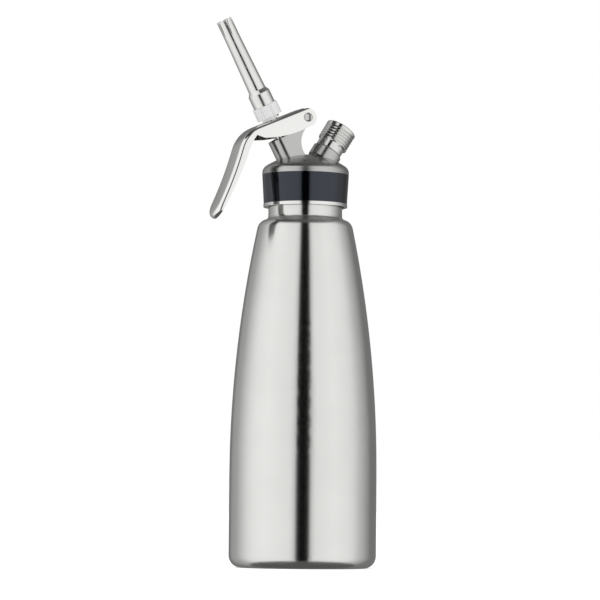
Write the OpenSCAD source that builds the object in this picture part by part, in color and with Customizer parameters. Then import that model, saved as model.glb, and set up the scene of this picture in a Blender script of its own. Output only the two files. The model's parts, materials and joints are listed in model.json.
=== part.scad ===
// Whipped cream dispenser: a steel bottle, a screwed head with a squeeze lever,
// a sprung valve that opens when the lever is pressed, a decorator tip and a
// threaded port for a gas charger. Millimetres, +Z up, base centre at the origin.
// The lever and the tip lean toward -X, the charger port toward +X.

/* [Bottle] */
// Outer diameter of the bottle
bottle_d = 96; // [84:1:108]
// Height of the straight lower wall
straight_h = 60; // [40:1:90]
// Radius of the long curve from the wall to the shoulder
flank_r = 790; // [700:10:1000]
// Radius of the round between wall and base
base_round = 8; // [5:0.5:12]
// Sheet thickness of the bottle
bottle_wall = 1; // [0.8:0.1:1.4]
// Radius of the shoulder
shoulder_r = 7; // [5:0.5:9]
// Outer diameter of the neck
neck_d = 48.4; // [44:0.2:52]
// Radius of the fillet between shoulder and neck
neck_fillet = 2.5; // [1.5:0.5:4]
// Inner radius of the flat ring that the bottle stands on
foot_in_r = 30; // [24:1:33]
// Depth of the dished base
dish_depth = 3; // [2:0.5:4]

/* [Neck thread] */
// Height of bare neck that shows between the fillet and the head
bare_neck = 6; // [4:0.5:9]
// Length of the neck from the head's lower edge to the mouth
neck_len = 14.2; // [13:0.2:17]
// Pitch of the neck thread
neck_pitch = 3.5; // [3:0.1:4]
// Depth of the neck thread
neck_thread_depth = 1; // [0.8:0.1:1.1]
// Radial clearance between the neck thread and the head
neck_thread_gap = 0.3; // [0.25:0.05:0.35]
// Width of a thread ridge at its crest
neck_crest_w = 0.9; // [0.7:0.1:1]
// Plain height of the neck ring below its thread
thread_lead = 3.1; // [2.8:0.1:3.4]
// Plain height of the neck ring above its thread
mouth_lead = 1.2; // [1:0.1:1.4]
// Depth of the head's reliefs past the floor of its thread
relief_depth = 0.15; // [0.1:0.05:0.2]

/* [Head] */
// Wall of the head's skirt outside the thread
skirt_wall = 0.9; // [0.8:0.1:1.3]
// Height of the bright lip below the grip band
lip_h = 2; // [1.5:0.5:3]
// How far the lip stands out of the skirt
lip_out = 1.1; // [0.8:0.1:1.4]
// Height of the grip band
band_h = 19.2; // [17:0.2:22]
// Thickness of the grip band at its lower edge
band_t_low = 0.9; // [0.6:0.1:1]
// Thickness of the grip band at its upper edge
band_t_top = 2; // [1.2:0.1:2.4]
// Radius of the dome
dome_r = 47.5; // [45:0.5:52]
// Height of the dome's top above the grip band
dome_rise = 13.5; // [12.5:0.5:15]
// Radius of the dome's shoulder
dome_round = 5; // [3:0.5:6]
// Wall thickness of the dome
dome_wall = 3.5; // [3:0.1:4]
// Width of the gasket's seat inside the head
gasket_seat_w = 4; // [3.6:0.1:4.6]

/* [Head gasket] */
// Thickness of the gasket between bottle and head
gasket_h = 2; // [1.5:0.1:2.5]
// Clearance on each face of the gasket
gasket_gap = 0.05; // [0.03:0.01:0.1]
// Length of a pull tab inside the gasket
gasket_tab = 3; // [2:0.5:4]
// Width of a pull tab
gasket_tab_w = 6; // [5:0.5:8]
// Radial clearance of the gasket in the head
gasket_side_gap = 0.2; // [0.1:0.05:0.3]

/* [Valve housing] */
// Tilt of the valve from upright, in degrees
valve_tilt = 28; // [24:1:32]
// Depth below the dome's top at which the valve axis meets the bottle axis
valve_root = 24.4; // [22:0.2:26]
// Outer radius of the valve housing
stub_r = 8.3; // [8:0.1:9]
// Place of the housing's rim along the valve axis
stub_top = 39.2; // [38:0.2:40.4]
// Place of the housing's inner seat along the valve axis
seat_s = 14; // [13:0.2:16]
// Radius of the spring pocket in the housing
pocket_r = 6.9; // [6.8:0.1:7.1]
// Place of the spring pocket's floor along the valve axis
pocket_s = 24.5; // [23.5:0.1:26]
// Wall round the spring pocket inside the dome
post_wall = 1.5; // [1.2:0.1:1.8]
// Depth of the flats on the housing's two sides
stub_flat = 0.25; // [0.2:0.05:0.4]

/* [Valve stem] */
// Outer radius of the valve stem
stem_r = 3.95; // [3.8:0.05:4.1]
// Radial running clearance of the stem in the head
stem_gap = 0.07; // [0.05:0.01:0.09]
// Radius of the stem's bore
stem_bore_r = 2.4; // [2:0.1:2.6]
// Radius of the cross holes that let the cream into the stem
port_hole_r = 1.3; // [1:0.1:1.4]
// Number of cross holes
port_holes = 4; // [2:2:6]
// Radius of the stem's lower threaded end
tail_r = 2.5; // [2.2:0.1:2.8]
// Thickness of the poppet seal
seal_h = 2.5; // [2:0.1:3]
// Radius of the poppet seal
seal_r = 6.4; // [6:0.1:7]
// Clearance between the poppet seal and its seat
seal_gap = 0.05; // [0.03:0.01:0.08]
// Height of the poppet nut
nut_h = 3.6; // [3:0.1:4]
// Width of the poppet nut across its flats
nut_af = 9; // [8:0.5:10]
// Section radius of the stem's O-ring
oring_r = 0.6; // [0.5:0.05:0.7]
// Place of the stem's O-ring along the valve axis
oring_s = 20.6; // [20:0.1:21.4]
// How far an O-ring stands out of its groove
oring_proud = 0.03; // [0.02:0.01:0.04]

/* [Valve spring] */
// Wire diameter of the valve spring
wire_d = 1.1; // [0.9:0.1:1.2]
// Mean radius of the spring's coils
coil_r = 5.3; // [5.2:0.05:5.4]
// Number of coils
coils = 6; // [5:1:7]
// Clearance at each end of the spring
spring_gap = 0.1; // [0.05:0.05:0.2]
// Thickness of the spring cap's flange
cap_h = 2.6; // [2.2:0.1:3]
// Radius of the spring cap's flange
cap_r = 7.6; // [7.4:0.1:7.8]
// Length of the spring cap's skirt
cap_skirt = 4.4; // [3:0.2:5]
// Wall thickness of the spring cap's skirt
cap_wall = 0.4; // [0.35:0.05:0.5]

/* [Lever] */
// Sheet thickness of the lever
lever_t = 1.4; // [1.2:0.1:1.4]
// Distance from the valve axis to the lever's pin
pin_out = 20.35; // [19.5:0.05:22]
// Place of the lever's pin along the valve axis
pin_s = 43.6; // [43:0.1:44.4]
// Height of the lever's outer face above its pin
web_rise = 6.6; // [6.4:0.1:7]
// Length of the lever from its pin to the bend
web_len = 33.6; // [30:0.2:37]
// Outer radius of the lever's bend
bend_r = 23; // [20:0.5:26]
// Angle of the lever's bend, in degrees
bend_a = 51; // [45:1:56]
// Radius of the handle's slow outward curve
handle_r = 240; // [180:5:320]
// Length of the handle up to the middle of its round end
handle_len = 38.5; // [32:0.5:42]
// Depth of the handle's side flanges
flange_d = 6.2; // [5:0.1:7]
// Outer radius of the sheet's bends along the flanges
fold_r = 3; // [2.4:0.1:3.1]
// Angle at which the handle's flanges grow shallower toward its end, in degrees
flange_taper = 3; // [2:0.5:3.5]
// Radius of the lever's end round its pin
lever_end_r = 6.1; // [5.8:0.1:6.3]
// Radius of the lever's pin
pin_r = 3.1; // [2.8:0.1:3.4]
// Radial running clearance of the lever on its pin
pin_gap = 0.08; // [0.05:0.01:0.1]
// How far the pin's ends stay below the lever's faces
pin_sunk = 0.3; // [0.1:0.1:0.5]
// Depth of the dish in each end of the pin
pin_dish = 1; // [0.6:0.1:1.2]
// Radius of the hole in the lever for the valve stem
stem_hole_r = 5.5; // [5.4:0.1:5.6]
// Lowest depth of the side flanges below the pin
belly_d = 6.4; // [6.2:0.1:6.6]
// Distance from the pin to that lowest place
belly_x = 9; // [7:0.5:11]
// Radius of the flanges' lower edge
belly_r = 70; // [65:1:80]
// Distance of the notch in the flanges beyond the start of the bend
notch_x = 4.2; // [3:0.2:6]
// Height of the notch above the pin
notch_z = 1.6; // [1:0.1:2]
// Half of the notch's width
notch_w = 3.8; // [3.4:0.1:4.2]
// Depth of the notch
notch_d = 3.2; // [2.8:0.1:3.6]
// Radius of the two press bumps under the lever
bump_r = 1.3; // [1.1:0.1:1.5]
// Clearance between the press bumps and the spring cap
bump_gap = 0.1; // [0.05:0.05:0.2]
// Angle that the lever turns through, in degrees
stroke_a = 10; // [8:1:10]
// Clearance between the lever's flanges and the bracket
bracket_gap = 0.3; // [0.25:0.05:0.4]
// Wall of the bracket round the pin
pin_boss_wall = 1.2; // [1:0.1:1.3]
// Distance from that wall to the bracket's hollow edge
hollow_gap = 0.6; // [0.4:0.1:1]
// Radius of the bracket's hollow edge
bracket_hollow_r = 13.8; // [12.5:0.1:14]

/* [Nozzle] */
// Least clearance between the lever and the lock nut on the stem
nut_clear = 0.15; // [0.1:0.05:0.4]
// Height of the lock nut
lock_nut_h = 1.5; // [1.3:0.1:1.6]
// Width of the lock nut across its flats
lock_nut_af = 11; // [10:0.5:11.5]
// Radius of the white adapter ring
adapter_r = 8.5; // [8:0.1:9]
// Height of the adapter ring
adapter_h = 8.2; // [7.4:0.1:9]
// Number of groups of grooves round the adapter
flute_groups = 8; // [6:1:10]
// Number of grooves in a group
flutes = 3; // [2:1:3]
// Radius of a groove
flute_r = 0.35; // [0.25:0.05:0.4]
// Radius of the adapter's spigot inside the tip
spigot_r = 6.5; // [6.3:0.1:6.6]
// Height of the adapter's spigot
spigot_h = 6; // [5:0.2:6.4]
// Thickness of the washer inside the adapter
washer_h = 1.2; // [1:0.1:1.4]
// Radius of the tip's cup
cup_r = 7.35; // [7.2:0.05:7.6]
// Height of the tip's cup
cup_h = 8.4; // [7.8:0.1:9]
// Sheet thickness of the tip
tip_wall = 0.6; // [0.5:0.05:0.7]
// Height of the shoulder between cup and tube
tip_shoulder = 2.6; // [2:0.1:3.2]
// Outer radius of the tube at its foot
tube_low_r = 5.85; // [5.6:0.05:6]
// Outer radius of the tube near its mouth
tube_top_r = 5.1; // [4.9:0.05:5.2]
// Length of the tapered tube
tube_len = 36; // [30:1:42]
// Length of the straight mouth of the tube
mouth_len = 14.5; // [14:0.5:18]
// Depth of the V cuts in the mouth
slot_depth = 11.4; // [9:0.2:12.5]
// Width of a V cut at the mouth
slot_w = 2.5; // [1.8:0.1:2.8]
// Number of V cuts
slots = 6; // [4:2:8]
// Direction of the first V cut round the tip, in degrees
slot_turn = 50; // [0:5:90]

/* [Charger port] */
// Tilt of the port from upright, in degrees
port_tilt = 32.5; // [30:0.5:36]
// Depth below the dome's top at which the port axis meets the bottle axis
port_root = 21.2; // [20:0.2:23]
// Outer radius of the boss that holds the port
boss_r = 10; // [9.6:0.1:10.4]
// Place of the boss's face along the port axis
boss_top = 29.2; // [28:0.2:30]
// Chamfer round the boss's face
boss_chamfer = 1; // [0.6:0.1:1.4]
// Radius of the chromed neck
port_neck_r = 9; // [8.7:0.1:9.1]
// Length of the chromed neck
port_neck_len = 5.4; // [4.6:0.1:6]
// Radius of the port's thread over its crests
port_crest_r = 10.4; // [10:0.1:10.8]
// Depth of the port's thread
port_thread_depth = 1.1; // [0.8:0.1:1.2]
// Pitch of the port's thread
port_pitch = 2; // [1.9:0.05:2.2]
// Number of turns of the port's thread
port_turns = 5.5; // [5:0.5:5.5]
// Plain length between the thread and the port's end
port_lead = 1.4; // [1:0.1:2]
// Radius of the bore for the charger's neck
charger_bore_r = 4.7; // [4.6:0.1:4.9]
// Length of that bore
charger_bore_l = 8.6; // [8:0.1:9]
// Length of the narrower seat between the bore and the charger seal
charger_seat_l = 4.4; // [4:0.2:5]
// Radius of the vent hole in the neck
vent_r = 0.5; // [0.4:0.1:0.7]
// Direction of the vent hole round the port, in degrees
vent_a = -75; // [-90:5:-60]
// Radius of the socket's spigot in the head
socket_r = 6.5; // [6.3:0.1:6.8]
// Section radius of the socket's O-ring
socket_ring_r = 0.42; // [0.35:0.01:0.5]
// Distance of that O-ring below the boss's face
socket_ring_in = 2.6; // [2.2:0.1:3]
// Place of the socket's inner end along the port axis
socket_s = 15.5; // [15:0.1:16.5]
// Radius of the bore that holds the charger seal and the piercing pin
core_r = 4.2; // [4:0.1:4.3]
// Thickness of the charger seal
charger_seal_h = 2.4; // [2:0.1:2.8]
// Length of the piercing needle
needle_len = 6.4; // [5.5:0.1:7.5]
// Radius of the needle's foot
needle_r = 1.2; // [1:0.1:1.4]
// Radial clearance round the needle in the seal
needle_gap = 0.3; // [0.2:0.1:0.4]
// Radius of the three gas holes round the needle
gas_hole_r = 0.6; // [0.4:0.1:0.7]
// Length of the piercing pin's body
pin_body_h = 6; // [5:0.2:6.6]
// Thickness of the check valve
check_h = 1.4; // [1.2:0.1:1.6]
// Height of the cage nut below the check valve
cage_h = 2.6; // [2.2:0.1:2.8]

/* [Hidden] */

// Smoothness of small, middling and very large rounds
$fn = 72;
fine = 120;
huge = 1440;
// A cut reaches this far past the face it opens
over = 1;
// Same-body pieces that sit one in the other keep this radial clearance
snug = 0.02;
// Pieces that join run this far into each other
lap = 0.5;
// Bent stretches of the lever lie this far inside the faces of the straight ones
seam = 0.03;

bottle_r = bottle_d / 2;
neck_r = neck_d / 2;
neck_in_r = neck_r - bottle_wall - 0.2;

// The shoulder round touches the long flank curve from inside
shoulder_x = neck_r + 0.2;
shoulder_z = straight_h + sqrt(pow(flank_r - shoulder_r, 2)
    - pow(shoulder_x - bottle_r + flank_r, 2));
flank_top = shoulder_z + (shoulder_z - straight_h) * shoulder_r / (flank_r - shoulder_r);
// The neck fillet touches the shoulder round from outside
fillet_x = neck_r + neck_fillet;
fillet_z = shoulder_z + sqrt(pow(shoulder_r + neck_fillet, 2)
    - pow(fillet_x - shoulder_x, 2));
dish_r = (pow(foot_in_r, 2) + pow(dish_depth, 2)) / (2 * dish_depth);

// Heights from the neck upward
head_z = fillet_z + bare_neck;
mouth_z = head_z + neck_len;
gasket_z = mouth_z + gasket_gap;
gasket_seat_z = gasket_z + gasket_h + gasket_gap;
band_z = head_z + lip_h;
band_top_z = band_z + band_h;
dome_top_z = band_top_z + dome_rise;
dome_centre_z = dome_top_z - dome_r;

// Neck thread: ridges on the ring, ridges in the head, and room between
ridge_slope = 0.5;
crest_r = neck_r + neck_thread_depth;
head_crest_r = neck_r + neck_thread_gap;
head_root_r = crest_r + neck_thread_gap;
thread_z = head_z + thread_lead;
thread_top_z = mouth_z - mouth_lead;
relief_z = mouth_z - mouth_lead / 2;
relief_r = head_root_r + relief_depth;
skirt_r = head_root_r + skirt_wall;
cavity_r = head_root_r - gasket_seat_w;
neck_segs = 36;

// The dome's shoulder round touches the dome from inside
head_r = skirt_r + band_t_top;
dome_round_x = head_r - dome_round;
dome_round_z = dome_centre_z + sqrt(pow(dome_r - dome_round, 2) - pow(dome_round_x, 2));
dome_edge_x = dome_round_x * dome_r / (dome_r - dome_round);

// Stations along the valve axis
stem_shoulder_s = seat_s - seal_gap;
seal_s = stem_shoulder_s - seal_h;
nut_s = seal_s - nut_h;
hole_s = stem_shoulder_s + port_hole_r + 0.5;
rest_a = stroke_a / 2;
lever_under = web_rise - lever_t;
web_s = pin_s + (pin_out + lever_under * sin(rest_a)) * tan(rest_a)
    + lever_under * cos(rest_a);
cap_top_s = web_s - bump_r - bump_gap;
cap_s = cap_top_s - cap_h;
lock_nut_r = lock_nut_af / 2 / cos(30);
lock_nut_s = web_s + lever_t / cos(rest_a) + lock_nut_r * tan(rest_a) + nut_clear;
adapter_s = lock_nut_s + lock_nut_h + 0.3;
adapter_top_s = adapter_s + adapter_h;
stem_top_s = adapter_top_s - 2;
washer_s = stem_top_s + 0.05;
cup_s = adapter_top_s + 0.1;
shoulder_s = cup_s + cup_h;
tube_s = shoulder_s + tip_shoulder;
mouth_s = tube_s + tube_len;
tip_top_s = mouth_s + mouth_len;
spring_s = pocket_s + spring_gap;
spring_len = cap_s - spring_gap - spring_s;
fin_w = 2 * (stub_r - stub_flat);
lever_w = fin_w + 2 * bracket_gap + 2 * lever_t;
pin_boss_r = pin_r + pin_boss_wall;
hollow_x = pin_out + 1.25;
hollow_s = pin_s - pin_boss_r - bracket_hollow_r - hollow_gap;
stub_base_s = pocket_s - 0.5;

// Stations along the port axis
port_thread_s = boss_top + port_neck_len;
port_end_s = port_thread_s + port_turns * port_pitch + port_lead;
port_root_r = port_crest_r - port_thread_depth;
charger_floor_s = port_end_s - charger_bore_l - charger_seat_l;
charger_seal_s = charger_floor_s - charger_seal_h;
pin_body_s = charger_seal_s - pin_body_h;
check_s = pin_body_s - check_h - 0.05;
cage_top_s = socket_s + cage_h;
check_spring_len = check_s - cage_top_s - 0.1;
port_segs = 24;

// ---- frames ----

// Valve frame: its Z is the valve axis, and +X is the side of the lever's pin
module on_valve() {
    translate([0, 0, dome_top_z - valve_root]) rotate([0, -valve_tilt, 0]) children();
}

// Lever frame: origin at the pin, +X along the lever toward the handle
module on_lever() {
    on_valve() translate([pin_out, 0, pin_s]) rotate([0, rest_a, 0])
        rotate([0, 0, 180]) children();
}

// Port frame: its Z is the port axis
module on_port() {
    translate([0, 0, dome_top_z - port_root]) rotate([0, port_tilt, 0]) children();
}

// ---- shared shapes ----

// Tube between two stations
module tube(r_out, r_in, low, high) {
    difference() {
        translate([0, 0, low]) cylinder(r = r_out, h = high - low);
        translate([0, 0, low - over]) cylinder(r = r_in, h = high - low + 2 * over);
    }
}

// Rod between two stations
module rod(r, low, high) {
    translate([0, 0, low]) cylinder(r = r, h = high - low);
}

// Ring of round section
module o_ring(mean_r, section_r) {
    rotate_extrude($fn = fine) translate([mean_r, 0]) circle(r = section_r, $fn = 36);
}

// Profile drawn in X and Z, extruded evenly to both sides of Y = 0
module slab(width) {
    translate([0, width / 2, 0]) rotate([90, 0, 0]) linear_extrude(width) children();
}

// Faces of a tube of rings, with both ends closed
function ring_faces(rings, sides) = concat(
    [[for (k = [0 : sides - 1]) k]],
    [for (i = [0 : rings - 2], k = [0 : sides - 1])
        [i * sides + k, (i + 1) * sides + k, (i + 1) * sides + (k + 1) % sides]],
    [for (i = [0 : rings - 2], k = [0 : sides - 1])
        [i * sides + k, (i + 1) * sides + (k + 1) % sides, i * sides + (k + 1) % sides]],
    [[for (k = [sides - 1 : -1 : 0]) (rings - 1) * sides + k]]);

// Section of a helical cut: outer or inner edge at open_r, floor at floor_r
function cut_section(open_r, floor_r, open_w, floor_w, a, z) = [
    for (p = [[open_r, -open_w / 2], [floor_r, -floor_w / 2],
              [floor_r, floor_w / 2], [open_r, open_w / 2]])
        [p[0] * cos(a), p[0] * sin(a), z + p[1]]];

// How far a thread has run in at step i of n, from 0 to 1
function run_in(i, n, steps) = min(1, i / steps, (n - i) / steps);

// Helical cut of a right-handed thread; it fades in and out over a third of a turn
module helical_cut(open_r, floor_r, open_w, floor_w, pitch, turns, segs) {
    n = round(turns * segs);
    fade = segs / 3;
    points = [for (i = [0 : n]) each cut_section(open_r,
        open_r + (floor_r - open_r) * max(0.08, run_in(i, n, fade)),
        open_w, floor_w, i * 360 / segs, i * pitch / segs)];
    faces = ring_faces(n + 1, 4);
    polyhedron(points, floor_r < open_r ? faces
        : [for (f = faces) [for (j = [len(f) - 1 : -1 : 0]) f[j]]]);
}

// Coil of round wire between two heights, with a closed turn's slope at each end
function coil_z(u, turns, height, wire) =
    let (rise = height - wire, flat = 0.7, open = turns - 2 * flat)
    let (slow = wire * 1.45, fast = (rise - 2 * flat * slow) / open)
    wire / 2 + (u < flat ? u * slow
        : u < turns - flat ? flat * slow + (u - flat) * fast
        : rise - (turns - u) * slow);

function coil_point(u, turns, mean_r, height, wire) = [
    mean_r * cos(360 * u), mean_r * sin(360 * u), coil_z(u, turns, height, wire)];

module coil(turns, mean_r, height, wire) {
    per_turn = 12;
    sides = 6;
    n = turns * per_turn;
    points = [for (i = [0 : n], k = [0 : sides - 1])
        let (u = i / per_turn, c = coil_point(u, turns, mean_r, height, wire),
             out = wire / 2 * cos(360 * k / sides), up = wire / 2 * sin(360 * k / sides))
        [c[0] + out * cos(360 * u), c[1] + out * sin(360 * u), c[2] + up]];
    polyhedron(points, ring_faces(n + 1, sides));
    least = min([for (i = [0 : 2 * n - 2 * per_turn])
        coil_z(i / per_turn / 2 + 1, turns, height, wire)
            - coil_z(i / per_turn / 2, turns, height, wire)]) - wire;
    echo(str("least gap between coils: ", least));
}

// ---- bottle ----

// Half outline of the bottle, set in by t on every side
module bottle_outline(t) {
    touch = (shoulder_r - t) / (shoulder_r + neck_fillet);
    difference() {
        intersection() {
            translate([0, t]) square([bottle_r, mouth_z]);
            union() {
                translate([0, t]) square([bottle_r - base_round, straight_h]);
                translate([0, base_round]) square([bottle_r - t, straight_h - base_round]);
                translate([bottle_r - base_round, base_round]) circle(r = base_round - t);
                intersection() {
                    translate([0, straight_h])
                        square([bottle_r, flank_top - straight_h]);
                    translate([bottle_r - flank_r, straight_h])
                        circle(r = flank_r - t, $fn = huge);
                }
                translate([0, straight_h])
                    square([shoulder_x, shoulder_z + shoulder_r - t - straight_h]);
                translate([shoulder_x, shoulder_z]) circle(r = shoulder_r - t);
                difference() {
                    polygon([[0, shoulder_z], [shoulder_x, shoulder_z],
                        [shoulder_x + (fillet_x - shoulder_x) * touch,
                            shoulder_z + (fillet_z - shoulder_z) * touch],
                        [fillet_x, fillet_z], [0, fillet_z]]);
                    translate([fillet_x, fillet_z]) circle(r = neck_fillet + t);
                }
                translate([0, fillet_z]) square([neck_r - t, mouth_z - fillet_z]);
            }
        }
        translate([0, dish_depth - dish_r]) circle(r = dish_r + t, $fn = huge);
    }
}

module bottle_shell() {
    top = head_z + 0.5;
    color("silver") rotate_extrude($fn = fine) difference() {
        intersection() {
            bottle_outline(0);
            square([bottle_r + over, top]);
        }
        bottle_outline(bottle_wall);
        translate([0, fillet_z]) square([neck_r - bottle_wall, mouth_z]);
    }
}

// Threaded ring that is welded to the top of the neck
module neck_ring() {
    groove_w = neck_pitch - neck_crest_w;
    floor_w = groove_w - 2 * ridge_slope * neck_thread_depth;
    reach = 0.2;
    turns = (thread_top_z - thread_z) / neck_pitch + 1.4;
    color("silver") difference() {
        union() {
            rod(neck_r, head_z + 0.5, mouth_z);
            rod(crest_r, thread_z, thread_top_z);
        }
        rod(neck_in_r, head_z, mouth_z + over);
        translate([0, 0, thread_z - 0.7 * neck_pitch])
            helical_cut(crest_r + reach, neck_r + 0.1, groove_w + 2 * ridge_slope * reach,
                floor_w, neck_pitch, turns, neck_segs);
    }
}

// ---- head ----

// Half outline of the head; each piece runs a little into the one below it
module head_outline() {
    translate([0, head_z]) square([skirt_r + lip_out, lip_h]);
    translate([0, head_z]) square([skirt_r, band_top_z - head_z + lap]);
    translate([0, band_top_z]) square([head_r, dome_round_z - band_top_z]);
    translate([dome_round_x, dome_round_z]) intersection() {
        circle(r = dome_round);
        translate([0, -lap]) square([dome_round, dome_round + lap]);
    }
    intersection() {
        translate([0, dome_centre_z]) circle(r = dome_r, $fn = huge);
        translate([0, dome_round_z - lap]) square([dome_edge_x, dome_rise]);
    }
}

module cavity_outline() {
    translate([0, head_z - over]) square([head_crest_r, gasket_seat_z - head_z + over]);
    translate([0, relief_z]) square([relief_r, gasket_seat_z - relief_z]);
    translate([0, head_z - over]) square([relief_r, thread_z - head_z + over - 1]);
    intersection() {
        translate([0, dome_centre_z]) circle(r = dome_r - dome_wall, $fn = huge);
        translate([0, gasket_seat_z - over]) square([cavity_r, dome_rise + 2 * over]);
    }
}

// Bracket that carries the lever's pin, seen from the side
module bracket_outline() {
    difference() {
        union() {
            polygon([[0, stub_base_s - 3], [0, stub_top], [stub_r, stub_top],
                [pin_out - pin_boss_r * cos(45), pin_s + pin_boss_r * sin(45)],
                [pin_out, pin_s], [hollow_x, hollow_s + bracket_hollow_r],
                [hollow_x, stub_base_s - 3]]);
            translate([pin_out, pin_s]) circle(r = pin_boss_r);
        }
        translate([hollow_x, hollow_s]) circle(r = bracket_hollow_r);
    }
}

module head_body() {
    groove_w = neck_pitch - neck_crest_w;
    floor_w = groove_w - 2 * ridge_slope * neck_thread_depth;
    reach = 0.3;
    turns = (relief_z - thread_z) / neck_pitch + 1.6;
    inner_post = pocket_r + post_wall;
    color("silver") difference() {
        union() {
            rotate_extrude($fn = fine) head_outline();
            on_valve() intersection() {
                union() {
                    rod(stub_r, stub_base_s - 3, stub_top);
                    slab(fin_w) bracket_outline();
                }
                slab(fin_w) translate([-2 * stub_r, 0]) square([4 * dome_r, 2 * stub_top]);
            }
            on_port() rod(boss_r, boss_top - 8, boss_top - boss_chamfer);
            on_port() translate([0, 0, boss_top - boss_chamfer])
                cylinder(r1 = boss_r, r2 = boss_r - boss_chamfer, h = boss_chamfer);
        }
        difference() {
            rotate_extrude($fn = fine) cavity_outline();
            on_valve() rod(inner_post, seat_s, pocket_s);
            on_port() rod(socket_r + post_wall, socket_s, boss_top - 4);
        }
        translate([0, 0, thread_z - 1.2 * neck_pitch])
            helical_cut(head_crest_r - reach, head_root_r,
                groove_w + 2 * ridge_slope * reach, floor_w,
                neck_pitch, turns, neck_segs);
        on_valve() {
            rod(stem_r + stem_gap, seat_s - over, stub_top + over);
            rod(pocket_r, pocket_s, stub_top + over);
            translate([pin_out, 0, pin_s]) rotate([90, 0, 0])
                cylinder(r = pin_r, h = fin_w + 2 * over, center = true);
        }
        on_port() rod(socket_r + snug, socket_s - over, boss_top + over);
    }
}

module grip_band() {
    color("darkslategray") difference() {
        translate([0, 0, band_z]) cylinder(r1 = skirt_r + band_t_low,
            r2 = skirt_r + band_t_top, h = band_h, $fn = fine);
        translate([0, 0, band_z - over])
            cylinder(r = skirt_r, h = band_h + 2 * over, $fn = fine);
    }
}

// Ring gasket with two small inward tabs to pull it out by
module head_gasket() {
    inner = neck_in_r - gasket_side_gap * 2;
    color("dimgray") {
        tube(head_root_r - gasket_side_gap, inner, gasket_z, gasket_z + gasket_h);
        for (a = [45, 225])
            rotate([0, 0, a]) difference() {
                translate([inner - gasket_tab, -gasket_tab_w / 2, gasket_z])
                    cube([gasket_tab + over / 2, gasket_tab_w, gasket_h]);
                rod(inner - gasket_tab, gasket_z - over, gasket_z + gasket_h + over);
            }
    }
}

// ---- valve ----

module valve_stem() {
    groove_h = 2 * oring_r + 0.2;
    groove_r = stem_r + oring_proud - 2 * oring_r - snug;
    color("silver") on_valve() difference() {
        union() {
            rod(stem_r, stem_shoulder_s, stem_top_s);
            rod(tail_r, nut_s, stem_shoulder_s);
        }
        rod(stem_bore_r, stem_shoulder_s + 0.4, stem_top_s + over);
        for (i = [0 : port_holes / 2 - 1])
            translate([0, 0, hole_s]) rotate([90, 0, i * 360 / port_holes])
                cylinder(r = port_hole_r, h = 2 * stem_r + 2 * over, center = true);
        tube(stem_r + over, groove_r, oring_s - groove_h / 2, oring_s + groove_h / 2);
    }
}

module stem_o_ring() {
    color("black") on_valve() translate([0, 0, oring_s])
        o_ring(stem_r + oring_proud - oring_r, oring_r);
}

module valve_spring() {
    color("gainsboro") on_valve() translate([0, 0, spring_s])
        coil(coils, coil_r, spring_len, wire_d);
}

// Cap over the spring; the lever's bumps press on its flange
module spring_cap() {
    skirt_out = coil_r + wire_d / 2 + 0.2 + cap_wall;
    color("dimgray") on_valve() {
        tube(cap_r, stem_r + snug, cap_s, cap_top_s);
        tube(skirt_out, skirt_out - cap_wall, cap_s - cap_skirt, cap_s);
    }
}

module poppet_seal() {
    color("black") on_valve() tube(seal_r, tail_r + snug, seal_s, seal_s + seal_h);
}

module poppet_nut() {
    color("silver") on_valve() difference() {
        translate([0, 0, nut_s]) cylinder(r = nut_af / 2 / cos(30), h = nut_h, $fn = 6);
        rod(tail_r + snug, nut_s - over, nut_s + nut_h + over);
    }
}

// ---- lever ----

// Section of the lever's channel: the outer face lies on Y = 0, flanges point to -Y.
// Every face can be set in by the same small step
module channel_section(depth, inset) {
    half = lever_w / 2;
    fold_x = half - fold_r;
    inner = half - lever_t + inset;
    difference() {
        intersection() {
            union() {
                translate([inset - half, inset - depth])
                    square([2 * (half - inset), depth - inset - fold_r]);
                translate([-fold_x, -fold_r]) square([2 * fold_x, fold_r - inset]);
                for (s = [-1, 1]) translate([s * fold_x, -fold_r])
                    circle(r = fold_r - inset);
            }
            translate([-half, inset - depth]) square([2 * half, depth]);
        }
        translate([-inner, -depth - over]) square([2 * inner, depth + over - fold_r]);
        translate([-fold_x, -depth - over])
            square([2 * fold_x, depth + over - lever_t + inset]);
        for (s = [-1, 1]) translate([s * fold_x, -fold_r])
            circle(r = fold_r - lever_t + inset);
    }
}

// Straight stretch of channel along +X from the present place
module channel_straight(length, depth, inset) {
    rotate([90, 0, 90]) linear_extrude(length) channel_section(depth, inset);
}

// Stretch whose outer face turns down, with a lap at both ends
module channel_down(radius, angle, depth) {
    lap_a = lap / radius * 180 / PI;
    translate([0, 0, -radius]) rotate([90, 0, 0]) rotate([0, 0, 90 - angle - lap_a])
        rotate_extrude(angle = angle + 2 * lap_a, $fn = fine)
        rotate([0, 0, -90]) translate([0, radius]) channel_section(depth, seam);
}

// Stretch whose outer face turns up
module channel_up(radius, angle, depth) {
    translate([0, 0, radius]) rotate([90, 0, 0]) rotate([0, 0, -90])
        rotate_extrude(angle = angle, $fn = fine)
        rotate([0, 0, -90]) translate([0, radius]) rotate([0, 0, 180])
        channel_section(depth, 0);
}

// Place at the end of the bend, and at distance d along the handle
module at_bend_end() {
    translate([web_len + bend_r * sin(bend_a), 0,
        web_rise - bend_r * (1 - cos(bend_a))]) rotate([0, bend_a, 0]) children();
}
handle_turn = handle_len / handle_r * 180 / PI;
module at_handle_end() {
    at_bend_end() translate([handle_r * sin(handle_turn), 0,
        handle_r * (1 - cos(handle_turn))]) rotate([0, -handle_turn, 0]) children();
}

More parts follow.
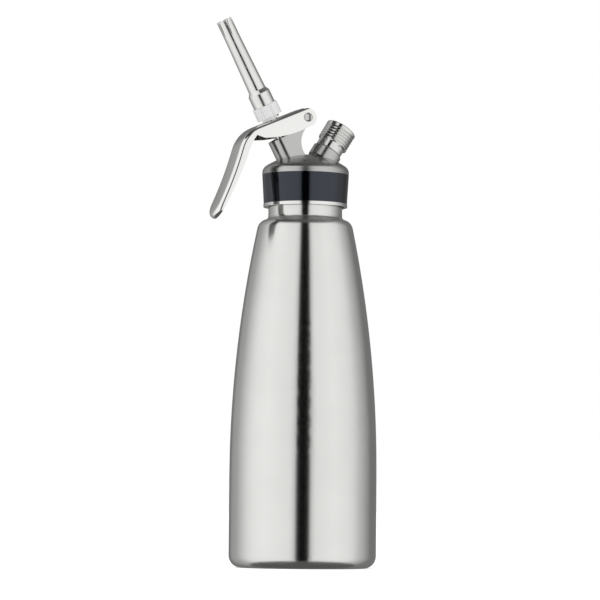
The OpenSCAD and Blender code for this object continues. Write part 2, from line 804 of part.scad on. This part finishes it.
// Round end of the handle: half of a shallow pan with the channel's own section
module handle_tip() {
    depth = flange_d - handle_len * sin(flange_taper);
    translate([-lap, 0, 0]) channel_straight(lap, depth, seam);
    rotate([0, 0, -90]) rotate_extrude(angle = 180, $fn = fine) intersection() {
        channel_section(depth, seam);
        translate([0, -depth]) square([lever_w / 2, depth]);
    }
}

// Side view of the lever's front: round end, bellied flanges, notch and bend
module front_outline() {
    tip_x = web_len + notch_x;
    far_x = web_len + bend_r;
    corner_r = bend_r - flange_d + 2 * seam;
    corner_x = web_len + corner_r * sin(bend_a);
    corner_z = web_rise - bend_r + corner_r * cos(bend_a);
    circle(r = lever_end_r);
    intersection() {
        polygon([[0, web_rise], [tip_x, web_rise], [tip_x, notch_z],
            [tip_x - 3 * notch_w, notch_z - 3 * notch_d], [0, notch_z - 3 * notch_d]]);
        translate([belly_x, belly_r - belly_d]) circle(r = belly_r, $fn = huge);
    }
    polygon([[tip_x, web_rise], [far_x, web_rise], [far_x, corner_z],
        [corner_x, corner_z], [tip_x + notch_w, notch_z - notch_d * 0.8],
        [tip_x, notch_z]]);
}

module lever() {
    deep = web_rise + belly_d + over;
    hole_x = pin_out / cos(rest_a) + lever_under * tan(rest_a);
    bump_w = 1.4;
    color("lightgray") on_lever() difference() {
        union() {
            intersection() {
                union() {
                    translate([-lever_end_r, 0, web_rise])
                        channel_straight(web_len + lever_end_r, deep, 0);
                    translate([web_len, 0, web_rise])
                        channel_down(bend_r, bend_a, deep);
                }
                slab(lever_w + over) front_outline();
            }
            at_handle_end() handle_tip();
            intersection() {
                at_bend_end() channel_up(handle_r, handle_turn, flange_d);
                at_bend_end() translate([0, 0, -flange_d - seam])
                    rotate([0, -flange_taper, 0]) translate([0, 0, handle_r + flange_d])
                    rotate([90, 0, 0]) cylinder(r = handle_r + flange_d,
                        h = 2 * lever_w, center = true, $fn = huge);
            }
            for (s = [-1, 1])
                translate([hole_x, s * (stem_hole_r + bump_w / 2), lever_under])
                    intersection() {
                        rotate([90, 0, 0])
                            cylinder(r = bump_r, h = bump_w, center = true);
                        translate([-bump_r, -over, -bump_r])
                            cube([2 * bump_r, 2 * over, bump_r + lever_t / 2]);
                    }
        }
        rotate([90, 0, 0])
            cylinder(r = pin_r + pin_gap, h = lever_w + 2 * over, center = true);
        translate([hole_x, 0, 0]) cylinder(r = stem_hole_r, h = web_rise + over);
    }
}

module lever_pin() {
    end = lever_w / 2 - pin_sunk;
    dish_r = (pow(pin_r - pin_sunk, 2) + pow(pin_dish, 2)) / (2 * pin_dish);
    color("silver") on_valve() translate([pin_out, 0, pin_s]) rotate([90, 0, 0])
        difference() {
            cylinder(r = pin_r, h = 2 * end, center = true);
            for (side = [-1, 1])
                translate([0, 0, side * (end + dish_r - pin_dish)]) sphere(r = dish_r);
        }
}

// ---- nozzle ----

module lock_nut() {
    color("silver") on_valve() difference() {
        translate([0, 0, lock_nut_s])
            cylinder(r = lock_nut_r, h = lock_nut_h, $fn = 6);
        rod(stem_r + snug, lock_nut_s - over, lock_nut_s + lock_nut_h + over);
    }
}

module nozzle_adapter() {
    flute_step = 5;
    color("white") on_valve() difference() {
        union() {
            rod(adapter_r, adapter_s, adapter_top_s);
            rod(spigot_r, adapter_s, adapter_top_s + spigot_h);
        }
        rod(stem_r + stem_gap, adapter_s - over, washer_s);
        rod(stem_r + 0.4, washer_s - 0.01, washer_s + washer_h);
        rod(stem_bore_r + 0.6, washer_s, adapter_top_s + spigot_h + over);
        for (g = [0 : flute_groups - 1], i = [0 : flutes - 1])
            rotate([0, 0, g * 360 / flute_groups + (i - (flutes - 1) / 2) * flute_step])
                translate([adapter_r, 0, adapter_s - over])
                cylinder(r = flute_r, h = adapter_h + 2 * over, $fn = 16);
    }
}

module adapter_washer() {
    color("dimgray") on_valve()
        tube(stem_r + 0.3, stem_bore_r, washer_s, washer_s + washer_h - 0.05);
}

// Half outline of the tip, set in by t
module tip_outline(t) {
    polygon([[0, cup_s], [cup_r - t, cup_s], [cup_r - t, shoulder_s - t / 2],
        [tube_low_r - t, tube_s - t / 2], [tube_top_r - t, mouth_s],
        [tube_top_r - t, tip_top_s], [0, tip_top_s]]);
}

module decorator_tip() {
    color("silver") on_valve() difference() {
        rotate_extrude() difference() {
            tip_outline(0);
            tip_outline(tip_wall);
            translate([0, cup_s - over]) square([cup_r - tip_wall, 2 * over]);
            translate([0, tip_top_s - over]) square([tube_top_r - tip_wall, 2 * over]);
        }
        for (i = [0 : slots / 2 - 1])
            rotate([0, 0, slot_turn + i * 360 / slots]) slab(4 * tube_top_r)
                polygon([[-slot_w / 2, tip_top_s + 0.1], [0, tip_top_s - slot_depth],
                    [slot_w / 2, tip_top_s + 0.1]]);
    }
}

// ---- charger port ----

module charger_socket() {
    open_w = 1.4;
    reach = 0.25;
    slope = open_w / 2 / port_thread_depth;
    lead_chamfer = 0.5;
    color("gainsboro") on_port() difference() {
        union() {
            rod(socket_r, socket_s, boss_top);
            rod(port_neck_r, boss_top, port_thread_s);
            rod(port_crest_r, port_thread_s, port_end_s - lead_chamfer);
            translate([0, 0, port_end_s - lead_chamfer])
                cylinder(r1 = port_crest_r, r2 = port_crest_r - lead_chamfer,
                    h = lead_chamfer);
        }
        translate([0, 0, port_thread_s - 0.15 * port_pitch])
            helical_cut(port_crest_r + reach, port_root_r, open_w + 2 * slope * reach, 0.12,
                port_pitch, port_turns, port_segs);
        rod(charger_bore_r, port_end_s - charger_bore_l, port_end_s + over);
        rod(core_r, socket_s - over, port_end_s);
        rotate([0, 0, vent_a]) translate([0, 0, port_thread_s - 1]) rotate([0, 90, 0])
            cylinder(r = vent_r, h = port_neck_r + over);
        translate([0, 0, boss_top - socket_ring_in])
            tube(socket_r + over, socket_r - 2 * socket_ring_r - 2 * snug,
                -socket_ring_r - 0.2, socket_ring_r + 0.2);
    }
}

module socket_o_ring() {
    color("black") on_port() translate([0, 0, boss_top - socket_ring_in])
        o_ring(socket_r - socket_ring_r - snug, socket_ring_r);
}

module charger_seal() {
    color("black") on_port()
        tube(core_r - snug, needle_r + needle_gap, charger_seal_s, charger_floor_s);
}

module piercing_pin() {
    color("silver") on_port() difference() {
        union() {
            rod(core_r - snug, pin_body_s, charger_seal_s);
            translate([0, 0, charger_seal_s])
                cylinder(r1 = needle_r, r2 = 0.15, h = needle_len, $fn = 36);
        }
        rod(0.5, pin_body_s - over, charger_seal_s - 1);
        for (a = [60, 180, 300]) rotate([0, 0, a])
            translate([core_r / 2, 0, 0])
            rod(gas_hole_r, pin_body_s - over, charger_seal_s + over);
    }
}

module check_valve() {
    color("dimgray") on_port() rod(core_r - 0.6, check_s, check_s + check_h);
}

module check_spring() {
    color("gainsboro") on_port() translate([0, 0, cage_top_s + 0.05])
        coil(3, core_r - 1.4, check_spring_len, 0.5);
}

module cage_nut() {
    color("silver") on_port() difference() {
        rod(core_r - snug, socket_s, cage_top_s);
        rod(1.5, socket_s - over, cage_top_s + over);
        translate([-core_r - over, -0.5, socket_s - over])
            cube([2 * core_r + 2 * over, 1, over + 0.8]);
    }
}

bottle_shell();
neck_ring();
head_body();
grip_band();
head_gasket();
valve_stem();
stem_o_ring();
valve_spring();
spring_cap();
poppet_seal();
poppet_nut();
lever();
lever_pin();
lock_nut();
nozzle_adapter();
adapter_washer();
decorator_tip();
charger_socket();
socket_o_ring();
charger_seal();
piercing_pin();
check_valve();
check_spring();
cage_nut();
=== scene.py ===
"""Whipped cream dispenser: looks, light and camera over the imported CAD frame."""

import json
import math

import bpy
from mathutils import Matrix, Vector

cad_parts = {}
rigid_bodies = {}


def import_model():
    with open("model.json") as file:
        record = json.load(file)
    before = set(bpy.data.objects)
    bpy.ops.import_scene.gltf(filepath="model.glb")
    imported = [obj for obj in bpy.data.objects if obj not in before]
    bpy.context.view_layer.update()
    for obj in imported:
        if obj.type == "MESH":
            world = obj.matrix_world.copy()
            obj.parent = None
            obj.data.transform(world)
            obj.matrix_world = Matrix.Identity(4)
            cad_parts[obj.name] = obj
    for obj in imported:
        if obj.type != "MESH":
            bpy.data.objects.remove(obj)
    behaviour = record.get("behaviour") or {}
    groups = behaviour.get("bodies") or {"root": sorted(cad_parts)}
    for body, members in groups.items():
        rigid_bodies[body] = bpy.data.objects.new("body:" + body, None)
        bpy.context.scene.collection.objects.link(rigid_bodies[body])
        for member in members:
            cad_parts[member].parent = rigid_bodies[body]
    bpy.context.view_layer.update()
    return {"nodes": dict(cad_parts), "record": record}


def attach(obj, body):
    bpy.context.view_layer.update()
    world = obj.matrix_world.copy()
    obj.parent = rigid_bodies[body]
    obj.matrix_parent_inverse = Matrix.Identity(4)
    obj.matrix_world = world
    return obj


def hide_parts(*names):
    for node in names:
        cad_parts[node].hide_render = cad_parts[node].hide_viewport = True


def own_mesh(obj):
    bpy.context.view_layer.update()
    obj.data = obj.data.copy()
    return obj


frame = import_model()
NODES = frame["nodes"]
JOINTS = frame["record"]["behaviour"]["joints"]
SLOTS = {part["node"]: part["material_slot"] for part in frame["record"]["subparts"]}

# ---- the photograph's camera, in metres ----
CAMERA_AZIMUTH = math.radians(-22.0)   # turned toward the lever's side
CAMERA_DISTANCE = 2.150                # from the bottle's axis
CAMERA_HEIGHT = 0.040
CAMERA_REACH = 200.0                   # nothing further away is drawn
AIM_HEIGHT = 0.174                     # the axis point that the camera aims at
CAMERA_ROLL = math.radians(-0.516)
FOCAL_PIXELS = 3292.5
FRAME_PIXELS = 600
AIM_PIXEL = (304.45, 301.3)            # where the aimed point shows
SENSOR = 36.0                          # millimetres

UP = Vector((0, 0, 1))


def toward_camera(azimuth=0.0):
    """Level unit vector from the object toward the camera, turned by azimuth."""
    a = CAMERA_AZIMUTH + azimuth
    return Vector((math.sin(a), -math.cos(a), 0.0))


# ---- materials: shared parts ----

EVEN = (1, 1, 1)            # grain that isn't stretched
NOISE_MIDDLE = (0.3, 0.7)   # most of a noise's values lie between these


def shader_tree(material):
    """(nodes, links, Principled shader) of a material."""
    tree = material.node_tree
    return tree.nodes, tree.links, tree.nodes["Principled BSDF"]


def new_material(name):
    """(material, its nodes, its links, its Principled shader)."""
    material = bpy.data.materials.new(name)
    material.use_nodes = True
    return material, *shader_tree(material)


def stretched_noise(nodes, links, scale, stretch, detail):
    """Noise in the object's own coordinates, stretched along its axes."""
    coord = nodes.new("ShaderNodeTexCoord")
    mapping = nodes.new("ShaderNodeMapping")
    mapping.inputs["Scale"].default_value = stretch
    noise = nodes.new("ShaderNodeTexNoise")
    noise.inputs["Scale"].default_value = scale
    noise.inputs["Detail"].default_value = detail
    links.new(coord.outputs["Object"], mapping.inputs["Vector"])
    links.new(mapping.outputs["Vector"], noise.inputs["Vector"])
    return noise.outputs["Fac"]


def vary(nodes, links, source, low, high, span=NOISE_MIDDLE):
    """The source, mapped from span to low..high and held at its ends."""
    ramp = nodes.new("ShaderNodeMapRange")
    ramp.inputs["From Min"].default_value = span[0]
    ramp.inputs["From Max"].default_value = span[1]
    ramp.inputs["To Min"].default_value = low
    ramp.inputs["To Max"].default_value = high
    links.new(source, ramp.inputs["Value"])
    return ramp.outputs["Result"]


def add_bump(nodes, links, shader, source, strength, distance):
    """Relief from the source. distance is its depth in metres."""
    bump = nodes.new("ShaderNodeBump")
    bump.inputs["Strength"].default_value = strength
    bump.inputs["Distance"].default_value = distance
    links.new(source, bump.inputs["Height"])
    links.new(bump.outputs["Normal"], shader.inputs["Normal"])


def tint(nodes, links, shader, source, dark, light):
    """Base colour between two tones."""
    mix = nodes.new("ShaderNodeMix")
    mix.data_type = "RGBA"
    mix.inputs["A"].default_value = (*dark, 1.0)
    mix.inputs["B"].default_value = (*light, 1.0)
    links.new(vary(nodes, links, source, 0.0, 1.0), mix.inputs["Factor"])
    links.new(mix.outputs["Result"], shader.inputs["Base Color"])


def overlay(nodes, links, shader, share, tone):
    """Another tone over the base colour, as far as share says."""
    mix = nodes.new("ShaderNodeMix")
    mix.data_type = "RGBA"
    links.new(share, mix.inputs["Factor"])
    links.new(shader.inputs["Base Color"].links[0].from_socket, mix.inputs["A"])
    mix.inputs["B"].default_value = (*tone, 1.0)
    links.new(mix.outputs["Result"], shader.inputs["Base Color"])


# ---- materials: metals and plastics ----

CLOUD_SCALE = 38.0          # of the soft clouds in a metal's tone
CLOUD_DETAIL = 2.0
METAL_DETAIL = 6.0          # of the fine grain
PLASTIC_DETAIL = 5.0
PLASTIC_SPREAD = 0.15       # how far a plastic's roughness varies, as a share of it
COAT_ROUGHNESS = 0.06


def metal(name, dark, light, rough, spread, stretch, scale, bump, depth):
    """Metal with a brushed or satin grain, stretched in X, Y and Z."""
    material, nodes, links, shader = new_material(name)
    shader.inputs["Metallic"].default_value = 1.0
    grain = stretched_noise(nodes, links, scale, stretch, METAL_DETAIL)
    clouds = stretched_noise(nodes, links, CLOUD_SCALE, EVEN, CLOUD_DETAIL)
    tint(nodes, links, shader, clouds, dark, light)
    links.new(vary(nodes, links, grain, rough - spread, rough + spread),
              shader.inputs["Roughness"])
    add_bump(nodes, links, shader, grain, bump, depth)
    return material


def plastic(name, dark, light, rough, coat, scale, bump, depth):
    """Moulded plastic or rubber with a fine grain."""
    material, nodes, links, shader = new_material(name)
    grain = stretched_noise(nodes, links, scale, EVEN, PLASTIC_DETAIL)
    tint(nodes, links, shader, grain, dark, light)
    links.new(vary(nodes, links, grain, rough * (1 - PLASTIC_SPREAD),
                   rough * (1 + PLASTIC_SPREAD)), shader.inputs["Roughness"])
    shader.inputs["Coat Weight"].default_value = coat
    shader.inputs["Coat Roughness"].default_value = COAT_ROUGHNESS
    add_bump(nodes, links, shader, grain, bump, depth)
    return material


def warm(v):
    """Grey with the photo's slight warm tint."""
    return (v, v, v * 0.975)


def grey(v):
    """Neutral grey."""
    return (v, v, v)


METALS = {
    "bottle_steel": dict(dark=warm(0.78), light=warm(0.81), rough=0.20, spread=0.02,
                         stretch=(1, 1, 60), scale=45.0, bump=0.06, depth=0.0001),
    "head_metal": dict(dark=warm(0.52), light=warm(0.56), rough=0.22, spread=0.05,
                       stretch=EVEN, scale=900.0, bump=0.05, depth=0.00002),
    "lever_steel": dict(dark=warm(0.88), light=warm(0.91), rough=0.09, spread=0.01,
                        stretch=(1, 40, 1), scale=60.0, bump=0.01, depth=0.00002),
    "fitting_steel": dict(dark=warm(0.62), light=warm(0.72), rough=0.22, spread=0.04,
                          stretch=EVEN, scale=300.0, bump=0.05, depth=0.00002),
    "spring_steel": dict(dark=warm(0.60), light=warm(0.70), rough=0.25, spread=0.04,
                         stretch=EVEN, scale=500.0, bump=0.05, depth=0.00002),
    "tip_steel": dict(dark=warm(0.80), light=warm(0.84), rough=0.20, spread=0.03,
                      stretch=EVEN, scale=260.0, bump=0.02, depth=0.00001),
    "port_chrome": dict(dark=warm(0.74), light=warm(0.78), rough=0.12, spread=0.02,
                        stretch=EVEN, scale=200.0, bump=0.01, depth=0.00001),
}
PLASTICS = {
    "band_plastic": dict(dark=(0.0006, 0.0007, 0.0012), light=(0.0010, 0.0012, 0.0020),
                         rough=0.10, coat=0.0, scale=700.0, bump=0.01, depth=0.00001),
    "white_plastic": dict(dark=grey(0.88), light=grey(0.91), rough=0.38, coat=0.1,
                          scale=500.0, bump=0.02, depth=0.00001),
    "inner_plastic": dict(dark=grey(0.04), light=grey(0.06), rough=0.40, coat=0.0,
                          scale=500.0, bump=0.05, depth=0.00002),
    "seal_rubber": dict(dark=grey(0.015), light=grey(0.025), rough=0.60, coat=0.0,
                        scale=900.0, bump=0.10, depth=0.00002),
}
MATERIALS = {name: metal(name, **finish) for name, finish in METALS.items()}
MATERIALS.update({name: plastic(name, **finish) for name, finish in PLASTICS.items()})


# ---- materials: what single pieces add ----

# The head's finish by height: (metres, roughness, share of the painted highlight tone on the
# lip)
HEAD_FINISH = ((0.2360, 0.12, 1.0), (0.2376, 0.12, 1.0), (0.2380, 0.26, 0.0),
               (0.2680, 0.26, 0.0), (0.2730, 0.20, 0.0), (0.3000, 0.20, 0.0))
# Painted highlight: a lighter tone on the polished lip below the band
HEAD_LIP_PAINTED_HIGHLIGHT = warm(0.86)
HANDLE_X = (-0.036, -0.040)   # the painted shade on the handle's inside starts to grow, and is full
INSIDE_FACING = (0.25, 0.5)   # the same, for how far its normal points toward the bottle
# Painted shade: the darker tone laid on the handle's inner faces
INSIDE_PAINTED_SHADE = warm(0.38)
BOTTLE_BRUSH = 0.85           # how much wider the bottle's steel mirrors upward than sideways
QUARTER_TURN = 0.25
BAND_GLOSS = 0.88
BAND_GLOSS_TINT = (0.76, 0.84, 1.0, 1.0)


def height_ramp(nodes, links, stops):
    """Value that follows the object's Z through (metres, value) stops."""
    coord = nodes.new("ShaderNodeTexCoord")
    split = nodes.new("ShaderNodeSeparateXYZ")
    ramp = nodes.new("ShaderNodeValToRGB")
    low, high = stops[0][0], stops[-1][0]
    while len(ramp.color_ramp.elements) < len(stops):
        ramp.color_ramp.elements.new(0.5)
    for element, (height, value) in zip(ramp.color_ramp.elements, stops):
        element.position = (height - low) / (high - low)
        element.color = (value, value, value, 1.0)
    links.new(coord.outputs["Object"], split.inputs[0])
    links.new(vary(nodes, links, split.outputs["Z"], 0.0, 1.0, (low, high)),
              ramp.inputs["Fac"])
    return ramp.outputs["Color"]


def finish_head(material):
    """Polished lip with a lighter tone that paints its highlight, satin dome and smoother posts.
    """
    nodes, links, shader = shader_tree(material)
    rough = height_ramp(nodes, links, [(z, value) for z, value, _ in HEAD_FINISH])
    highlight_share = height_ramp(nodes, links, [(z, share) for z, _, share in HEAD_FINISH])
    links.new(rough, shader.inputs["Roughness"])
    overlay(nodes, links, shader, highlight_share, HEAD_LIP_PAINTED_HIGHLIGHT)


def brush_round(material):
    """Steel brushed round its axis: reflections spread up and down, not sideways."""
    nodes, links, shader = shader_tree(material)
    shader.inputs["Anisotropic"].default_value = BOTTLE_BRUSH
    shader.inputs["Anisotropic Rotation"].default_value = QUARTER_TURN
    tangent = nodes.new("ShaderNodeTangent")
    tangent.direction_type = "RADIAL"
    tangent.axis = "Z"
    links.new(tangent.outputs["Tangent"], shader.inputs["Tangent"])


def paint_shade_inside(material):
    """Painted shade: a darker tone on the handle's inner faces, which point toward the bottle.
    """
    nodes, links, shader = shader_tree(material)
    coord = nodes.new("ShaderNodeTexCoord")
    both = nodes.new("ShaderNodeMath")
    both.operation = "MULTIPLY"
    for output, span, share in (("Normal", INSIDE_FACING, both.inputs[0]),
                                ("Object", HANDLE_X, both.inputs[1])):
        split = nodes.new("ShaderNodeSeparateXYZ")
        links.new(coord.outputs[output], split.inputs[0])
        links.new(vary(nodes, links, split.outputs["X"], 0.0, 1.0, span), share)
    overlay(nodes, links, shader, both.outputs[0], INSIDE_PAINTED_SHADE)


def gloss_band(material):
    """Bluish gloss on the charcoal band."""
    _, _, shader = shader_tree(material)
    shader.inputs["Specular IOR Level"].default_value = BAND_GLOSS
    shader.inputs["Specular Tint"].default_value = BAND_GLOSS_TINT


finish_head(MATERIALS["head_metal"])
# painted shade on the lever handle's inner faces
paint_shade_inside(MATERIALS["lever_steel"])
brush_round(MATERIALS["bottle_steel"])
gloss_band(MATERIALS["band_plastic"])


# ---- the CAD nodes' finish, and copies of the springs ----

SMOOTH_ANGLE = math.radians(28.0)
WELD = 1e-6                 # corners closer than this count as one, metres
LEVER_WELD = 6e-5           # closes the hairline steps between the lever's stretches


def smooth_by_angle_group(name, weld_distance):
    """Node group that shades faces smooth, and keeps edges past the angle sharp."""
    group = bpy.data.node_groups.new(name, "GeometryNodeTree")
    group.interface.new_socket("Geometry", in_out="INPUT", socket_type="NodeSocketGeometry")
    group.interface.new_socket("Geometry", in_out="OUTPUT", socket_type="NodeSocketGeometry")
    nodes, links = group.nodes, group.links
    start, end = nodes.new("NodeGroupInput"), nodes.new("NodeGroupOutput")
    weld = nodes.new("GeometryNodeMergeByDistance")
    weld.inputs["Distance"].default_value = weld_distance
    faces = nodes.new("GeometryNodeSetShadeSmooth")
    edges = nodes.new("GeometryNodeSetShadeSmooth")
    edges.domain = "EDGE"
    angle = nodes.new("GeometryNodeInputMeshEdgeAngle")
    compare = nodes.new("FunctionNodeCompare")
    compare.operation = "LESS_THAN"
    compare.inputs["B"].default_value = SMOOTH_ANGLE
    links.new(start.outputs[0], weld.inputs["Geometry"])
    links.new(weld.outputs["Geometry"], faces.inputs["Geometry"])
    links.new(faces.outputs["Geometry"], edges.inputs["Geometry"])
    links.new(angle.outputs["Unsigned Angle"], compare.inputs["A"])
    links.new(compare.outputs["Result"], edges.inputs["Shade Smooth"])
    links.new(edges.outputs["Geometry"], end.inputs[0])
    return group


def dress(piece, slot_name, group):
    """Give a piece its slot's material and its shading, the latter as a modifier."""
    piece.data.materials.clear()
    piece.data.materials.append(MATERIALS[slot_name])
    piece.modifiers.new("smooth", "NODES").node_group = group


def live_spring(name, joint, group):
    """Copy of a CAD spring, dressed and carried by its joint's parent body; the CAD spring is
    hidden.
    """
    spring = bpy.data.objects.new("live_" + name, NODES[name].data.copy())
    bpy.context.scene.collection.objects.link(spring)
    spring.matrix_world = NODES[name].matrix_world
    dress(spring, SLOTS[name], group)
    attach(spring, joint["parent"])
    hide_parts(name)
    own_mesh(spring)


def dress_cad_nodes():
    """Dress every CAD node, and put a live copy in each spring's place."""
    plain = smooth_by_angle_group("smooth_by_angle", WELD)
    closed = smooth_by_angle_group("smooth_and_close", LEVER_WELD)
    for name, slot_name in SLOTS.items():
        dress(NODES[name], slot_name, closed if name == "lever" else plain)
    for joint in JOINTS:
        for deforming in joint.get("deforming_nodes", ()):
            live_spring(deforming["node"], joint, plain)


# ---- stage: floor, world and lamps, in metres and watts ----

WHITE = (1, 1, 1, 1)
FLOOR_SIZE = 40.0
FLOOR_TONE = 0.80
FLOOR_LIFT = 0.52           # what the floor adds where it is seen directly
PLAIN_LIGHT = 0.80          # the world's strength on matt surfaces
# Lamps: name, degrees from the camera, height and power
LAMPS = (("left_lamp", -60, 1.1, 9), ("right_lamp", 55, 0.9, 5))
LAMP_DISTANCE = 2.2
LAMP_SIZE = 1.6
LAMP_AIM = Vector((0, 0, 0.18))     # the middle of the object


def mesh_object(name, points, faces):
    """New mesh object in the scene."""
    mesh = bpy.data.meshes.new(name)
    mesh.from_pydata([tuple(p) for p in points], [], faces)
    mesh.validate()
    made = bpy.data.objects.new(name, mesh)
    bpy.context.scene.collection.objects.link(made)
    return made


def level_square(name, size, height):
    """Level square over the axis, its corners in order round it from -X -Y."""
    half = size / 2
    corners = [(-half, -half, height), (half, -half, height), (half, half, height),
               (-half, half, height)]
    return mesh_object(name, corners, [(0, 1, 2, 3)])


def seen_directly(nodes, links):
    """1 for camera, glossy and transmission rays, else 0."""
    path = nodes.new("ShaderNodeLightPath")
    total = path.outputs["Is Camera Ray"]
    for other in ("Is Glossy Ray", "Is Transmission Ray"):
        either = nodes.new("ShaderNodeMath")
        either.operation = "MAXIMUM"
        links.new(total, either.inputs[0])
        links.new(path.outputs[other], either.inputs[1])
        total = either.outputs[0]
    return total


def make_world():
    """Plain light on matt surfaces, and white where the surround is seen directly."""
    world = bpy.data.worlds.new("studio")
    bpy.context.scene.world = world
    world.use_nodes = True
    nodes, links = world.node_tree.nodes, world.node_tree.links
    nodes.clear()
    output = nodes.new("ShaderNodeOutputWorld")
    mix = nodes.new("ShaderNodeMixShader")
    links.new(seen_directly(nodes, links), mix.inputs["Fac"])
    for strength, socket in ((PLAIN_LIGHT, mix.inputs[1]), (1.0, mix.inputs[2])):
        background = nodes.new("ShaderNodeBackground")
        background.inputs["Color"].default_value = WHITE
        background.inputs["Strength"].default_value = strength
        links.new(background.outputs[0], socket)
    links.new(mix.outputs[0], output.inputs["Surface"])


def make_floor():
    """White floor: the share that it shows by itself lifts it to the backdrop's white."""
    floor = level_square("floor", FLOOR_SIZE, 0.0)
    material, nodes, links, shader = new_material("floor")
    shader.inputs["Base Color"].default_value = (*grey(FLOOR_TONE), 1.0)
    shader.inputs["Roughness"].default_value = 1.0
    shader.inputs["Specular IOR Level"].default_value = 0.0
    lift = nodes.new("ShaderNodeMath")
    lift.operation = "MULTIPLY"
    lift.inputs[1].default_value = FLOOR_LIFT
    links.new(seen_directly(nodes, links), lift.inputs[0])
    shader.inputs["Emission Color"].default_value = WHITE
    links.new(lift.outputs[0], shader.inputs["Emission Strength"])
    floor.data.materials.append(material)
    floor.visible_glossy = False    # the photo's steel shows the studio wall down to the base


def area_lamp(name, azimuth, height, power):
    """Soft square lamp that looks at the object. azimuth is in degrees from the camera."""
    data = bpy.data.lights.new(name, "AREA")
    data.shape = "SQUARE"
    data.size = LAMP_SIZE
    data.energy = power
    lamp = bpy.data.objects.new(name, data)
    bpy.context.scene.collection.objects.link(lamp)
    lamp.location = toward_camera(math.radians(azimuth)) * LAMP_DISTANCE + UP * height
    lamp.rotation_euler = (LAMP_AIM - lamp.location).to_track_quat("-Z", "Y").to_euler()
    lamp.visible_glossy = False


# ---- stage: the studio walls that only reflections see ----

CARD_DISTANCE = 4.0
CARD_LOW, CARD_HIGH = -3.6, 4.7
# Tone of the studio wall: degrees from the camera, and tone there
WALL_LEFT = ((0, 0.0), (9, 0.0), (10, 0.20), (13, 0.70), (20, 0.90), (60, 1.0), (82, 0.95),
             (95, 0.85), (108, 0.66), (125, 0.42), (145, 0.34), (155, 0.20), (180, 0.18))
WALL_RIGHT = ((0, 0.0), (9, 0.0), (10, 0.20), (13, 0.70), (20, 0.90), (50, 0.97), (75, 0.90),
              (86, 0.82), (98, 0.62), (114, 0.42), (132, 0.20), (180, 0.18))
WALL_STEP = 4               # degrees that one flat stretch of the wall spans at most
ROOF_TONES = (0.01, 0.22)   # at its left and right ends
GROUND_TONES = (0.10, 0.10)
LEVEL_SIZE = 8.4
LEVEL_INSET = 0.05          # how far the roof and the ground lie inside the wall's ends


def card_material(name):
    """Glow with the tone that the card's corners carry."""
    material, nodes, links, shader = new_material(name)
    nodes.remove(shader)
    glow = nodes.new("ShaderNodeEmission")
    tone = nodes.new("ShaderNodeAttribute")
    tone.attribute_name = "tone"
    links.new(tone.outputs["Color"], glow.inputs["Color"])
    links.new(glow.outputs[0], nodes["Material Output"].inputs["Surface"])
    return material


def make_card(surface, tones):
    """Make a surface glow with one tone a corner, seen by reflections alone."""
    layer = surface.data.color_attributes.new("tone", "FLOAT_COLOR", "POINT")
    for entry, tone in zip(layer.data, tones):
        entry.color = (tone, tone, tone, 1.0)
    surface.data.materials.append(card_material(surface.name))
    surface.visible_camera = False
    surface.visible_diffuse = False
    surface.visible_shadow = False
    surface.visible_transmission = False


def wall_card(name, side, stops):
    """Half of the upright round wall, from the camera to the far side. side is -1 or 1."""
    marks = [stops[0]]
    for (low, low_tone), (high, high_tone) in zip(stops, stops[1:]):
        steps = math.ceil((high - low) / WALL_STEP)
        for k in range(1, steps + 1):
            share = k / steps
            marks.append((low + (high - low) * share, low_tone + (high_tone - low_tone) * share))
    points, tones = [], []
    for degrees, tone in marks:
        foot = toward_camera(side * math.radians(degrees)) * CARD_DISTANCE
        points += [foot + UP * CARD_LOW, foot + UP * CARD_HIGH]
        tones += [tone, tone]
    faces = [(i, i + 2, i + 3, i + 1) for i in range(0, len(points) - 2, 2)]
    make_card(mesh_object(name, points, faces), tones)


def level_card(name, height, left_tone, right_tone):
    """Level card whose tone runs from its -X side to its +X side."""
    surface = level_square(name, LEVEL_SIZE, height)
    make_card(surface, [left_tone, right_tone, right_tone, left_tone])


def make_stage():
    """Everything round the object but the camera."""
    make_world()
    make_floor()
    for lamp in LAMPS:
        area_lamp(*lamp)
    wall_card("left_wall", -1, WALL_LEFT)
    wall_card("right_wall", 1, WALL_RIGHT)
    level_card("roof", CARD_HIGH - LEVEL_INSET, *ROOF_TONES)
    level_card("ground", CARD_LOW + LEVEL_INSET, *GROUND_TONES)


def make_camera():
    """The photograph's camera: aimed, rolled, and shifted so that the aim lands on its pixel."""
    data = bpy.data.cameras.new("camera")
    data.sensor_width = SENSOR
    data.lens = FOCAL_PIXELS / FRAME_PIXELS * SENSOR
    data.shift_x = -(AIM_PIXEL[0] - FRAME_PIXELS / 2) / FRAME_PIXELS
    data.shift_y = (AIM_PIXEL[1] - FRAME_PIXELS / 2) / FRAME_PIXELS
    data.clip_end = CAMERA_REACH
    camera = bpy.data.objects.new("camera", data)
    bpy.context.scene.collection.objects.link(camera)
    place = toward_camera() * CAMERA_DISTANCE + UP * CAMERA_HEIGHT
    forward = (UP * AIM_HEIGHT - place).normalized()
    level = forward.cross(UP).normalized()
    upright = level.cross(forward)
    right = level * math.cos(CAMERA_ROLL) - upright * math.sin(CAMERA_ROLL)
    up = upright * math.cos(CAMERA_ROLL) + level * math.sin(CAMERA_ROLL)
    camera.matrix_world = Matrix.Translation(place) @ Matrix(
        (right, up, -forward)).transposed().to_4x4()
    bpy.context.scene.camera = camera


make_camera()
make_stage()
dress_cad_nodes()

bpy.context.scene.view_settings.view_transform = "Standard"
